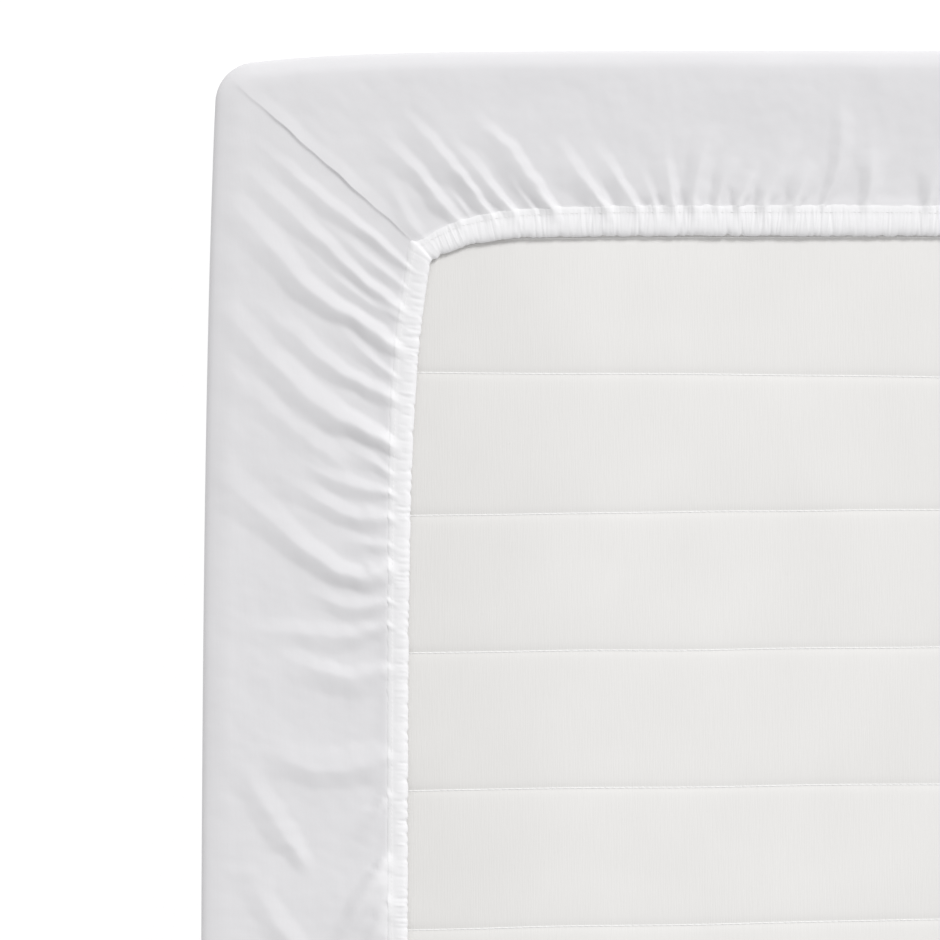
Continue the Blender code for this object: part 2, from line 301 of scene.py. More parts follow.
def plan_points(plan, foot, side, head, near, rest):
    """Points round a plan, anticlockwise from the middle of its foot end, and its closing point.

    near is how many points take the first near_length of the -X side, from the head end down.
    """
    x_end = plan.half_width - plan.side_draw - plan.radius
    y_end = plan.half_length - plan.end_draw - plan.radius
    near_share = near_length / (2 * mattress_half_length)

    def along_side(share, sign):
        y = y_end * (2 * share - 1)
        draw = plan.side_draw * np.exp((np.abs(y) - y_end) / plan.side_fade)
        return np.stack((sign * (plan.half_width - draw), y), axis=1)

    def along_end(share, sign):
        x = x_end * (2 * share - 1)
        draw = plan.end_draw * np.exp((np.abs(x) - x_end) / plan.end_fade)
        return np.stack((x, sign * (plan.half_length - draw)), axis=1)

    def corner(x_sign, y_sign, start):
        angle = start + corner_steps * pi / 2
        x = x_sign * x_end + plan.radius * np.cos(angle)
        y = y_sign * y_end + plan.radius * np.sin(angle)
        return np.stack((x, y), axis=1)

    left = np.concatenate(
        (
            np.linspace(1, 1 - near_share, near, endpoint=False),
            np.linspace(1 - near_share, 0, rest, endpoint=False),
        )
    )
    parts = (
        along_end(np.linspace(0.5, 1, foot // 2, endpoint=False), -1),
        corner(1, -1, -pi / 2)[:-1],
        along_side(np.linspace(0, 1, side, endpoint=False), 1),
        corner(1, 1, 0.0)[:-1],
        along_end(np.linspace(1, 0, head, endpoint=False), 1),
        corner(-1, 1, pi / 2)[:-1],
        along_side(left, -1),
        corner(-1, -1, pi)[:-1],
        along_end(np.linspace(0, 0.5, foot // 2 + 1), -1),
    )
    return np.concatenate(parts)


def inset(plan, distance):
    return plan._replace(
        half_width=plan.half_width - distance,
        half_length=plan.half_length - distance,
        radius=max(plan.radius - distance, 0.004),
    )


def smooth_run(points, per_span):
    """A smooth curve through a few points, as a row of many."""
    points = np.array(points, dtype=float)
    padded = np.concatenate((2 * points[:1] - points[1:2], points, 2 * points[-1:] - points[-2:-1]))
    run = []
    for a, b, c, d in zip(padded, padded[1:], padded[2:], padded[3:]):
        for t in np.linspace(0, 1, per_span, endpoint=False):
            bend = (2 * a - 5 * b + 4 * c - d) * t**2 + (3 * b - a - 3 * c + d) * t**3
            run.append(0.5 * (2 * b + (c - a) * t + bend))
    run.append(points[-1])
    return np.array(run)


# The creases of the -X corner at the head end. Each runs from the hem, by two points, to its tip;
# places are from the -X side and from the head end. A crease rises to a ridge with a long slope on
# its +X or head side and a short one on the other.
Crease = namedtuple("Crease", "hem bend swing tip height long short")
corner_creases = (
    Crease((0.166, 0.173), (0.128, 0.142), (0.090, 0.113), (0.055, 0.082), 0.0026, 0.0075, 0.0065),
    Crease((0.162, 0.188), (0.148, 0.178), (0.130, 0.164), (0.108, 0.145), 0.0020, 0.0060, 0.0065),
    Crease((0.164, 0.211), (0.134, 0.187), (0.096, 0.152), (0.046, 0.104), 0.0036, 0.0090, 0.0070),
    Crease((0.158, 0.215), (0.140, 0.205), (0.118, 0.190), (0.094, 0.168), 0.0018, 0.0060, 0.0060),
    Crease((0.158, 0.238), (0.128, 0.218), (0.086, 0.190), (0.032, 0.130), 0.0052, 0.0115, 0.0085),
    Crease((0.154, 0.260), (0.143, 0.252), (0.130, 0.241), (0.116, 0.226), 0.0020, 0.0060, 0.0060),
    Crease((0.158, 0.280), (0.130, 0.268), (0.096, 0.246), (0.050, 0.206), 0.0036, 0.0105, 0.0080),
    Crease((0.158, 0.318), (0.126, 0.302), (0.084, 0.276), (0.025, 0.214), 0.0056, 0.0140, 0.0095),
    Crease((0.154, 0.340), (0.144, 0.333), (0.134, 0.328), (0.121, 0.321), 0.0022, 0.0075, 0.0060),
    Crease((0.108, 0.328), (0.084, 0.310), (0.056, 0.288), (0.022, 0.254), 0.0016, 0.0150, 0.0100),
    Crease((0.152, 0.355), (0.132, 0.352), (0.110, 0.345), (0.086, 0.333), 0.0028, 0.0090, 0.0065),
    Crease((0.150, 0.375), (0.130, 0.376), (0.104, 0.366), (0.072, 0.346), 0.0032, 0.0115, 0.0075),
    Crease((0.150, 0.397), (0.140, 0.397), (0.130, 0.396), (0.116, 0.394), 0.0020, 0.0075, 0.0060),
    Crease((0.152, 0.416), (0.130, 0.423), (0.090, 0.405), (0.020, 0.344), 0.0050, 0.0135, 0.0090),
    Crease((0.150, 0.442), (0.134, 0.447), (0.116, 0.446), (0.094, 0.437), 0.0028, 0.0090, 0.0065),
    Crease((0.152, 0.461), (0.124, 0.470), (0.094, 0.469), (0.048, 0.464), 0.0026, 0.0110, 0.0080),
    Crease((0.147, 0.497), (0.122, 0.503), (0.100, 0.498), (0.070, 0.488), 0.0032, 0.0110, 0.0120),
    Crease((0.150, 0.566), (0.122, 0.577), (0.086, 0.575), (0.050, 0.560), 0.0032, 0.0240, 0.0105),
    Crease((0.080, 0.645), (0.066, 0.625), (0.052, 0.604), (0.036, 0.574), 0.0030, 0.0140, 0.0100),
    Crease((0.151, 0.598), (0.145, 0.607), (0.137, 0.618), (0.126, 0.634), 0.0038, 0.0110, 0.0062),
    Crease((0.147, 0.655), (0.140, 0.667), (0.126, 0.690), (0.108, 0.722), 0.0060, 0.0160, 0.0064),
    Crease((0.151, 0.683), (0.146, 0.695), (0.140, 0.708), (0.132, 0.724), 0.0038, 0.0110, 0.0062),
    Crease((0.092, 0.742), (0.076, 0.719), (0.058, 0.692), (0.042, 0.664), 0.0030, 0.0140, 0.0100),
    Crease((0.180, 0.150), (0.168, 0.138), (0.160, 0.122), (0.150, 0.106), 0.0016, 0.0080, 0.0060),
    Crease((0.207, 0.137), (0.190, 0.118), (0.172, 0.096), (0.148, 0.074), 0.0034, 0.0085, 0.0080),
    Crease((0.216, 0.133), (0.212, 0.127), (0.208, 0.122), (0.203, 0.115), 0.0014, 0.0035, 0.0045),
    Crease((0.231, 0.128), (0.213, 0.106), (0.196, 0.086), (0.172, 0.060), 0.0040, 0.0065, 0.0100),
    Crease((0.254, 0.132), (0.242, 0.120), (0.227, 0.102), (0.208, 0.080), 0.0038, 0.0065, 0.0090),
    Crease((0.268, 0.128), (0.262, 0.122), (0.257, 0.116), (0.252, 0.108), 0.0014, 0.0035, 0.0050),
    Crease((0.283, 0.126), (0.264, 0.102), (0.248, 0.080), (0.226, 0.060), 0.0044, 0.0080, 0.0115),
    Crease((0.282, 0.127), (0.277, 0.122), (0.273, 0.117), (0.268, 0.112), 0.0014, 0.0035, 0.0050),
    Crease((0.328, 0.131), (0.317, 0.116), (0.305, 0.101), (0.292, 0.082), 0.0038, 0.0070, 0.0110),
    Crease((0.350, 0.126), (0.341, 0.113), (0.332, 0.099), (0.322, 0.086), 0.0034, 0.0070, 0.0105),
    Crease((0.366, 0.129), (0.364, 0.121), (0.361, 0.114), (0.357, 0.105), 0.0022, 0.0050, 0.0065),
    Crease((0.381, 0.129), (0.379, 0.118), (0.377, 0.106), (0.374, 0.088), 0.0042, 0.0065, 0.0090),
    Crease((0.396, 0.127), (0.397, 0.115), (0.400, 0.098), (0.406, 0.074), 0.0046, 0.0120, 0.0075),
    Crease((0.415, 0.128), (0.417, 0.116), (0.422, 0.103), (0.431, 0.086), 0.0036, 0.0085, 0.0070),
    Crease((0.431, 0.129), (0.434, 0.121), (0.438, 0.112), (0.444, 0.098), 0.0042, 0.0065, 0.0070),
    Crease((0.451, 0.129), (0.454, 0.119), (0.460, 0.107), (0.470, 0.086), 0.0040, 0.0095, 0.0080),
    Crease((0.476, 0.127), (0.480, 0.117), (0.485, 0.106), (0.494, 0.092), 0.0040, 0.0100, 0.0085),
    Crease((0.330, 0.129), (0.326, 0.121), (0.321, 0.113), (0.314, 0.103), 0.0020, 0.0045, 0.0060),
)
Habit = namedtuple("Habit", "lean length height bow pitch")
fold_habit = Habit((-0.22, 0.22), (0.35, 0.95), (0.0030, 0.0068), (-0.006, 0.004), (0.028, 0.052))
lower_past_table = 0.62
cloth_stands_off = 0.0035
table_reach_down = 0.72
table_reach_across = 0.49
most_lift = 0.0085


def place_on_border(spot):
    """A point of the plan, from its distances to the -X side and to the head end."""
    return np.array((spot[0] - half_width, half_length - spot[1]))


def along_run(points, run):
    """For each point: how far along the run its nearest place is, how far aside, how far past the end."""
    best = np.full(len(points), 1e9)
    share = np.zeros(len(points))
    side = np.zeros(len(points))
    past = np.zeros(len(points))
    count = len(run) - 1
    for k in range(count):
        step = run[k + 1] - run[k]
        length = np.hypot(*step)
        forward = step / length
        offset = points - run[k]
        t = offset @ forward / length
        inside = np.clip(t, 0, 1)
        foot = offset - inside[:, None] * step
        distance = np.hypot(foot[:, 0], foot[:, 1])
        closer = distance < best
        best[closer] = distance[closer]
        share[closer] = (k + inside[closer]) / count
        across = offset @ np.array((-forward[1], forward[0]))
        side[closer] = across[closer]
        outside = np.abs(t - inside) * length
        if k == 0:
            outside[t > 1] = 0
        elif k == count - 1:
            outside[t < 0] = 0
        else:
            outside[:] = 0
        past[closer] = outside[closer]
    return share, side, past


# A crease has flat flanks, with its crest and its foot rounded off. Its long slope is on the side
# that long_side_way points to. The table's sizes are eased by the same shares on every crease.
crest_round = 0.010
foot_round = 0.07
long_side_way = (0.77, 0.64)
long_ease = 0.84
short_ease = 1.36
height_ease = 1.20
bell_top = foot_round * np.log1p(np.exp(1 / foot_round))


def crease_lift(points, run, height, long_slope, short_slope):
    """How far one crease lifts the cloth at each point of the plan."""
    reach = 2.6 * max(long_slope, short_slope) + 0.012
    near = np.all((points > run.min(0) - reach) & (points < run.max(0) + reach), axis=1)
    lift = np.zeros(len(points))
    if not near.any():
        return lift
    share, side, past = along_run(points[near], run)
    chord = run[-1] - run[0]
    facing = chord[0] * long_side_way[0] - chord[1] * long_side_way[1]
    kinks = np.sin(share * 21 + run[0, 1] * 140) * np.sin(share * 9 + run[0, 0] * 210)
    kinks *= 0.13 * short_slope * min(1.0, hypot(*chord) / 0.10) ** 2
    toward_long = (side if facing > 0 else -side) + kinks
    wander = 1 + 0.13 * np.sin(share * 7 + height * 4000) + 0.05 * np.sin(share * 17 + run[0, 0] * 90)
    opening = (0.75 + 0.5 * share) * wander
    width = np.where(toward_long > 0, long_ease * long_slope, short_ease * short_slope) * opening
    off = np.sqrt((toward_long / width) ** 2 + crest_round) - sqrt(crest_round)
    bell = foot_round * np.log1p(np.exp((1 - off) / foot_round)) / bell_top
    fade = 1 - np.clip(share, 0, 1) ** 2.2
    fade = (0.18 + 0.82 * fade) * (1 - 0.18 * np.exp(-((share / 0.12) ** 2)))
    lift[near] = height_ease * height * fade * bell * np.exp(-((past / 0.010) ** 2))
    return lift


def border_creases():
    """Every crease of the border: the table's, and past it the habit of the table by a seeded draw."""
    creases = []
    for crease in corner_creases:
        spots = [place_on_border(s) for s in (crease.hem, crease.bend, crease.swing, crease.tip)]
        creases.append((smooth_run(spots, 5), crease.height, crease.long, crease.short))
    rng = Random(11)
    side_border = mattress_half_width + cloth_stands_off - hem_outside.half_width
    end_border = mattress_half_length + cloth_stands_off - hem_outside.half_length
    x_axis = np.array((1.0, 0.0))
    y_axis = np.array((0.0, 1.0))
    for sign in (-1, 1):
        for along, out, half_run, border, hem_at in (
            (y_axis, sign * x_axis, half_length, side_border, hem_outside.half_width),
            (x_axis, sign * y_axis, half_width, end_border, hem_outside.half_length),
        ):
            reach = half_run - border - 0.02
            position = -reach
            while position < reach:
                lean = 0.85 * exp((abs(position) - half_run) / 0.33) + rng.uniform(*fold_habit.lean)
                length = rng.uniform(*fold_habit.length) * (border - 0.021)
                hem = along * position + out * hem_at
                tip = hem + out * length + along * copysign(lean, position) * length
                height = rng.uniform(*fold_habit.height) * lower_past_table
                bow = rng.uniform(*fold_habit.bow)
                inner = copysign(1.0, position) * along
                bend = hem * 0.66 + tip * 0.34 - inner * bow
                swing = hem * 0.33 + tip * 0.67 - inner * bow
                from_side = hem[0] + half_width
                from_head = half_length - hem[1]
                if not (from_side < table_reach_across and from_head < table_reach_down):
                    run = smooth_run((hem, bend, swing, tip), 5)
                    creases.append((run, height, 0.004 + 2.2 * height, 0.003 + 1.2 * height))
                position += rng.uniform(*fold_habit.pitch)
    return creases


# How the cloth turns over the edge, from the wall up to the border: how far in from the outline and
# how far down from the border, on the long sides and on the ends, and how much the folds lift it.
EdgeRow = namedtuple("EdgeRow", "side_in side_down end_in end_down fold_share")
edge_turn = (
    EdgeRow(0.0000, 0.0160, 0.0000, 0.0160, 0.0),
    EdgeRow(0.0003, 0.0095, 0.0003, 0.0110, 0.0),
    EdgeRow(0.0011, 0.0058, 0.0013, 0.0076, 0.04),
    EdgeRow(0.0028, 0.0039, 0.0031, 0.0054, 0.12),
    EdgeRow(0.0056, 0.0026, 0.0060, 0.0036, 0.30),
    EdgeRow(0.0092, 0.0017, 0.0092, 0.0019, 0.55),
    EdgeRow(0.0132, 0.0009, 0.0123, 0.0007, 0.80),
    EdgeRow(0.0172, 0.0003, 0.0155, 0.0002, 0.95),
    EdgeRow(0.0215, 0.0000, 0.0215, 0.0000, 1.0),
)
counts = (90, 290, 440, 460, 170)
turn = [pi / 2 * k / 4 for k in range(5)]
rings = []
for angle in turn:
    cut = edge_radius * (1 - sin(angle))
    level = sheet_floor + edge_radius * (1 - cos(angle))
    rings.append((plan_points(inset(outline, cut), *counts), level, 0.0))
wall_bottom = sheet_floor + edge_radius
wall_top = border_height - edge_turn[0].side_down
wall_steps = 6
first_turned = len(turn) + wall_steps - 1
for step in range(1, wall_steps):
    level = wall_bottom + (wall_top - wall_bottom) * step / wall_steps
    rings.append((plan_points(outline, *counts), level, 0.0))
edge_line = plan_points(outline, *counts)
border_start = plan_points(inset(outline, edge_radius), *counts)
faces_end = np.abs((border_start - edge_line)[:, 1]) / np.hypot(*(border_start - edge_line).T)
for turn_row in edge_turn:
    cut = turn_row.side_in + (turn_row.end_in - turn_row.side_in) * faces_end**2
    drop = turn_row.side_down + (turn_row.end_down - turn_row.side_down) * faces_end**2
    ring = edge_line + (border_start - edge_line) * (cut / edge_radius)[:, None]
    rings.append((ring, border_height - drop, turn_row.fold_share))
border_end = plan_points(hem_outside, *counts)
border_steps = 45
border_run = 0.118
for step in range(1, border_steps + 1):
    share = step / border_steps
    rings.append((border_start + (border_end - border_start) * share, border_height, 1.0))

plan = np.array([r[0] for r in rings])
height = np.array([np.broadcast_to(r[1], plan.shape[1]) for r in rings])
fold_share = np.repeat(np.array([r[2] for r in rings])[:, None], plan.shape[1], axis=1)
rows, columns = height.shape
flat_points = plan.reshape(-1, 2)
lift = np.zeros(len(flat_points))
for run, crest, long_slope, short_slope in border_creases():
    lift += crease_lift(flat_points, run, crest, long_slope, short_slope)

# The corner seams: the end's cloth is sewn over the side's, and stands up in a soft roll beside it.
seam_height = 0.0019
seam_roll = 0.0095
seam_step = 0.0013
corner_middle = len(corner_steps) // 2
corner_width = len(corner_steps) - 1
foot_half = counts[0] // 2
first_corner = foot_half + corner_middle
second_corner = first_corner + corner_width + counts[1]
third_corner = second_corner + corner_width + counts[2]
fourth_corner = third_corner + corner_width + counts[3] + counts[4]
for column in (first_corner, second_corner, third_corner, fourth_corner):
    outer = border_start[column]
    inner = border_end[column]
    run = np.array((inner, (inner + outer) / 2, outer))
    share, side, past = along_run(flat_points, run)
    toward_end = side * copysign(1, outer[0] * outer[1]) + 0.0007 * np.sin(share * 31) * np.sin(share * 11)
    flank = foot_round * np.log1p(np.exp((1 - np.maximum(toward_end, 0) / seam_roll) / foot_round))
    flank = flank / bell_top
    step_down = np.exp(-((np.minimum(toward_end, 0) / seam_step) ** 2))
    rise = seam_height * flank * step_down * np.exp(-((past / 0.012) ** 2))
    fuller_middle = 0.30 + 0.70 * np.sin(np.clip(share, 0, 1) * pi) ** 0.7
    lift += rise * fuller_middle * (0.85 + 0.15 * np.sin(share * 19))
lift = most_lift * np.tanh(lift / most_lift)

# Between its folds the cloth still ripples a little, broadly and finely.
Ripple = namedtuple("Ripple", "scale layer height")
ripples = (Ripple(14, 0.3, 0.0014), Ripple(46, 2.7, 0.0005), Ripple(115, 5.1, 0.00022))
for index, (x, y) in enumerate(flat_points):
    if index >= columns * first_turned:
        for ripple in ripples:
            at = Vector((x * ripple.scale, y * ripple.scale, ripple.layer))
            lift[index] += noise.noise(at) * ripple.height
height = height + lift.reshape(rows, columns) * fold_share

# The hollows between the folds end at the hem, which holds the cloth up off the ticking.
hem_level = border_height + 0.0008
hollow_reach = 0.0060
for step in range(1, border_steps + 1):
    to_hem = (1 - step / border_steps) * border_run
    row = height[rows - 1 - border_steps + step]
    row += np.maximum(hem_level - row, 0) * exp(-((to_hem / hollow_reach) ** 2))

cloth = bmesh.new()
bmesh.ops.create_grid(cloth, x_segments=columns - 1, y_segments=rows - 1, size=1.0)
cloth.verts.ensure_lookup_table()
spots = np.dstack((plan, height)).reshape(-1, 3)
for vert, spot in zip(cloth.verts, spots):
    vert.co = spot
steps_along = np.hypot(*np.diff(rings[10][0], axis=0).T)
flat_along = np.concatenate(((0,), np.cumsum(steps_along)))
middle = columns // 3
down = np.linalg.norm(np.diff(np.dstack((plan, height))[:, middle], axis=0), axis=1)
flat_down = np.concatenate(((0,), np.cumsum(down)))
layer = cloth.loops.layers.uv.new("cloth")
for face in cloth.faces:
    for loop in face.loops:
        row, column = divmod(loop.vert.index, columns)
        loop[layer].uv = (flat_along[column], flat_down[row])

# Painted highlight: beside the hem, and further from it where the folds stand high, the cloth's colour is
# painted whiter, as a highlight on the fold crests.
painted_crest_highlight = cloth.verts.layers.float.new("painted_crest_highlight")
raised = (height - border_height) * fold_share
for vert in cloth.verts:
    row, column = divmod(vert.index, columns)
    to_hem = (rows - 1 - row) / border_steps * border_run
    reach = 0.0012 + 3.0 * max(raised[row, column] - 0.0015, 0)
    vert[painted_crest_highlight] = exp(-((to_hem / reach) ** 2)) * 0.6
bmesh.ops.remove_doubles(cloth, verts=cloth.verts, dist=0.00002)
floor_rim = [e for e in cloth.edges if e.is_boundary and all(v.co.z < 0.01 for v in e.verts)]
bmesh.ops.contextual_create(cloth, geom=floor_rim)
bmesh.ops.recalc_face_normals(cloth, faces=cloth.faces)
mesh = bpy.data.meshes.new("fitted_sheet_cloth")
cloth.to_mesh(mesh)
cloth.free()
mesh.shade_smooth()
sheet_cloth = bpy.data.objects.new("fitted_sheet_cloth", mesh)
bpy.context.collection.objects.link(sheet_cloth)

cotton_light = (0.738, 0.732, 0.748)
cotton_dark = (0.708, 0.702, 0.718)
# The whiter colour of the painted highlight on the fold crests beside the hem.
cotton_highlight_colour = (0.855, 0.850, 0.862)
cotton_thread = 0.0009


def cotton(name, light, dark, painted_highlight=None):
    """Plain woven cotton: fine threads both ways along the cloth, small creases, slight cloudiness, and a
    painted highlight where a colour for it is given.
    """
    material, shader = new_material(name, light, 0.88, 0.06, 0.5)
    tree = material.node_tree
    place = tree.nodes.new("ShaderNodeTexCoord").outputs["Object"]
    along_cloth = tree.nodes.new("ShaderNodeUVMap")
    along_cloth.uv_map = "cloth"
    laid = along_cloth.outputs["UV"]
    warp = threads(tree, laid, cotton_thread, "X")
    weft = threads(tree, laid, cotton_thread, "Y")
    weave = combine(tree, "ADD", warp, weft)
    crumple = stretched_noise(tree, place, 55.0, 4.0, (1.0, 1.0, 1.0))
    cloudy = stretched_noise(tree, place, 16.0, 3.0, (1.0, 1.0, 1.0))
    shaded_colour(tree, shader, cloudy, dark, light)
    # Painted highlight: the colour is mixed toward a whiter one by the attribute painted on the fold
    # crests beside the hem.
    if painted_highlight:
        single = shader.inputs["Base Color"].links[0].from_socket
        mix = tree.nodes.new("ShaderNodeMix")
        mix.data_type = "RGBA"
        mix.inputs["B"].default_value = (*painted_highlight, 1.0)
        crest_highlight_node = tree.nodes.new("ShaderNodeAttribute")
        crest_highlight_node.attribute_name = "painted_crest_highlight"
        tree.links.new(crest_highlight_node.outputs["Fac"], mix.inputs["Factor"])
        tree.links.new(single, mix.inputs["A"])
        tree.links.new(mix.outputs["Result"], shader.inputs["Base Color"])
    relief = combine(tree, "ADD", combine(tree, "MULTIPLY", weave, 0.06), crumple)
    bump(tree, shader, relief, 0.0012, 0.22)
    return material


mesh.materials.append(cotton("white_cotton", cotton_light, cotton_dark, cotton_highlight_colour))

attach(sheet_cloth, "root")
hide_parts("fitted_sheet")


# The gathered hem: the sheet's edge turned over into a casing round flat elastic. The elastic
# draws it in, so the cloth of the casing stands in small pleats across it. It lies double there,
# so it is whiter than the single cloth.
hem_counts = (300, 700, 1150, 1100, 600)
hem_out = plan_points(hem_outside, *hem_counts)
hem_in = plan_points(hem_inside, *hem_counts)
HemRow = namedtuple("HemRow", "across rise pleats")
hem_rows = (
    HemRow(-0.05, -0.0012, 0.0),
    HemRow(0.00, 0.0001, 0.0),
    HemRow(0.06, 0.0001, 0.7),
    HemRow(0.13, 0.0003, 0.8),
    HemRow(0.20, 0.0003, 0.9),
    HemRow(0.26, 0.0003, 0.9),
    HemRow(0.34, 0.0006, 1.0),
    HemRow(0.43, 0.0009, 1.0),
    HemRow(0.52, 0.0011, 1.0),
    HemRow(0.61, 0.0012, 1.0),
    HemRow(0.70, 0.0012, 1.0),
    HemRow(0.78, 0.0010, 1.0),
    HemRow(0.86, 0.0005, 0.9),
    HemRow(0.93, -0.0003, 0.7),
    HemRow(0.98, -0.0013, 0.5),
    HemRow(1.00, -0.0024, 0.3),
    HemRow(0.98, -0.0032, 0.1),
    HemRow(0.90, -0.0036, 0.0),
    HemRow(0.60, -0.0036, 0.0),
)
hem_columns = len(hem_out)
hem_along = np.concatenate(((0,), np.cumsum(np.hypot(*np.diff(hem_in, axis=0).T))))
hem_length = hem_along[-1]
hem_cuts = np.cumsum((hem_counts[0] // 2, corner_width, hem_counts[1], corner_width, hem_counts[2]))
last_corner = hem_cuts[-1] + corner_width
hem_cuts = np.append(hem_cuts, (last_corner, last_corner + sum(hem_counts[3:])))
corner_places = hem_along[[hem_cuts[k] + corner_middle for k in (0, 2, 4, 6)]]
Pleats = namedtuple("Pleats", "pitch depth width slant start")
end_pleats = Pleats((0.0014, 0.0036), (0.00015, 0.0005), (0.0005, 0.0011), 0.0030, (-0.45, 0.20))
side_pleats = Pleats((0.0030, 0.0090), (0.0003, 0.0009), (0.0008, 0.0015), 0.0009, (0.36, 0.62))
end_band_from = 0.830
pleat_end = 0.06
patch_length = 0.015
patch_rise = 0.0011
patch_reach = 0.20
hem_run = np.gradient(hem_in, axis=0)
hem_run /= np.hypot(*hem_run.T)[:, None]
leans_by = np.clip(((hem_in - hem_out) * hem_run).sum(axis=1), -0.025, 0.025)

pleat = np.zeros((len(hem_rows), hem_columns))
scallop = np.zeros(hem_columns)
rng = Random(5)
position = 0.004
while position < hem_length - 0.004:
    here = min(np.searchsorted(hem_along, position), hem_columns - 1)
    on_end = abs(hem_in[here, 1]) > end_band_from
    habit = end_pleats if on_end else side_pleats
    depth = rng.uniform(*habit.depth)
    width = rng.uniform(*habit.width)
    depth *= min(1.0, max(0.40, 0.80 + 1.2 * noise.noise(Vector((position * 55, 0.5, 0.5)))))
    if rng.random() < 0.4:
        depth *= -0.7
        width *= 0.7
    slant = rng.uniform(-habit.slant, habit.slant)
    start = rng.uniform(*habit.start)
    stop = rng.uniform(0.72, 1.15)
    from_corner = min(abs(position - c) for c in corner_places)
    if not on_end:
        depth *= min(1.0, from_corner / patch_length) ** 3
    for k, row in enumerate(hem_rows):
        line = position + slant * (row.across - 0.6) + leans_by[here] * (1 - row.across)
        low = np.searchsorted(hem_along, line - 3 * width)
        high = np.searchsorted(hem_along, line + 3 * width)
        if high > low:
            gap = hem_along[low:high] - line
            inside = 1 / (1 + exp(-(row.across - start) / pleat_end))
            inside = inside / (1 + exp((row.across - stop) / pleat_end))
            pleat[k, low:high] -= depth * inside * np.exp(-((gap / width) ** 2))
    low = np.searchsorted(hem_along, position - 0.006)
    high = np.searchsorted(hem_along, position + 0.006)
    gap = hem_along[low:high] - position - slant * 0.4
    notch = rng.uniform(0.0, 1.0) ** 2 * 0.0013
    scallop[low:high] -= notch * np.exp(-((gap / (0.0010 + notch)) ** 2))
    position += rng.uniform(*habit.pitch)

casing = bmesh.new()
bmesh.ops.create_grid(casing, x_segments=hem_columns - 1, y_segments=len(hem_rows) - 1, size=1.0)
casing.verts.ensure_lookup_table()
across = hem_in - hem_out
band_width = np.hypot(across[:, 0], across[:, 1])
cloth_along = np.concatenate(((0,), np.cumsum(np.hypot(*np.diff(border_end, axis=0).T))))
hem_out_along = np.concatenate(((0,), np.cumsum(np.hypot(*np.diff(hem_out, axis=0).T))))
edge_height = np.interp(hem_out_along / hem_out_along[-1], cloth_along / cloth_along[-1], height[-1])
hem_base = float(edge_height.mean())
fold_at_hem = edge_height - hem_base
puff = np.array([noise.noise(Vector((p[0] * 38, p[1] * 38, 7.0))) for p in hem_in]) * 0.0006

# At each corner the side's casing is folded over the end's, so it ends in a smooth raised patch.
over = np.zeros(hem_columns)
for place, way in zip(corner_places, (1, -1, 1, -1)):
    past_fold = (hem_along - place) * way
    folded_edge = 1 + np.exp(np.clip(-past_fold / 0.00035, -40, 40))
    over += patch_rise / folded_edge * np.exp(-((past_fold / 0.017) ** 2))
wider_patch = over / patch_rise * patch_reach

# The hem's outer edge wanders a little over the border.
wavy_edge = np.array([noise.noise(Vector((p[0] * 150, p[1] * 150, 3.0))) for p in hem_out])
wavy_edge = np.maximum(0.03 + 0.06 * wavy_edge, 0.0)
hem_spots = []
for k, row in enumerate(hem_rows):
    inward = max(row.across, 0.0)
    move = row.across + (scallop / band_width) * inward - wavy_edge * (row.across < 0.03)
    move = move - wider_patch * max(0.0, 1 - inward / 0.6)
    flat = hem_out + across * move[:, None]
    crest_run = max(0.0, 1 - inward / 0.60) ** 1.4
    hollow_run = max(0.0, 1 - inward / 0.14) ** 1.2
    carried = np.where(fold_at_hem > 0, fold_at_hem * crest_run, fold_at_hem * hollow_run)
    laid_over = over * min(1.0, inward / 0.12)
    pleated = (pleat[k] + puff * (row.pleats > 0)) * row.pleats
    z = hem_base + row.rise + carried + laid_over + pleated
    hem_spots.append(np.column_stack((flat, z)))
for vert, spot in zip(casing.verts, np.concatenate(hem_spots)):
    vert.co = spot
layer = casing.loops.layers.uv.new("cloth")
for face in casing.faces:
    for loop in face.loops:
        row, column = divmod(loop.vert.index, hem_columns)
        loop[layer].uv = (hem_along[column] * 1.5, row * 0.0012)
bmesh.ops.remove_doubles(casing, verts=casing.verts, dist=0.00002)
bmesh.ops.recalc_face_normals(casing, faces=casing.faces)
if sum(f.normal.z * f.calc_area() for f in casing.faces) < 0:
    bmesh.ops.reverse_faces(casing, faces=casing.faces)
mesh = bpy.data.meshes.new("gathered_hem")
casing.to_mesh(mesh)
casing.free()
mesh.shade_smooth()
gathered_hem = bpy.data.objects.new("gathered_hem", mesh)
bpy.context.collection.objects.link(gathered_hem)
hem_light = (0.856, 0.852, 0.864)
hem_dark = (0.824, 0.820, 0.832)
mesh.materials.append(cotton("hem_cotton", hem_light, hem_dark))

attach(gathered_hem, "root")
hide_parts("fitted_sheet")


# The stitching: one row of white thread that closes the hem's casing beside its outer edge, and
# the rows across the ticking that hold its channels.
one_stitch = bmesh.new()
bmesh.ops.create_uvsphere(one_stitch, u_segments=6, v_segments=4, radius=1)
bmesh.ops.rotate(one_stitch, verts=one_stitch.verts, matrix=Matrix.Rotation(pi / 2, 3, "Y"))
stitch_mesh = bpy.data.meshes.new("one_stitch")
one_stitch.to_mesh(stitch_mesh)
one_stitch.free()


def sew(stitches, start, end, thick, gap):
    """One stitch, a small rounded length of thread from start to end, with a share of it left open."""
    run = end - start
    turned = run.to_track_quat("X", "Z").to_matrix().to_4x4()
    size = Matrix.Diagonal((run.length * (0.5 - gap / 2), thick, thick * 0.8, 1))
    stitch = stitch_mesh.copy()
    stitch.transform(Matrix.Translation((start + end) / 2) @ turned @ size)
    stitches.from_mesh(stitch)
    bpy.data.meshes.remove(stitch)


def thread_piece(name, stitches, material):
    mesh = bpy.data.meshes.new(name)
    stitches.to_mesh(mesh)
    stitches.free()
    mesh.shade_smooth()
    mesh.materials.append(material)
    piece = bpy.data.objects.new(name, mesh)
    bpy.context.collection.objects.link(piece)
    return piece


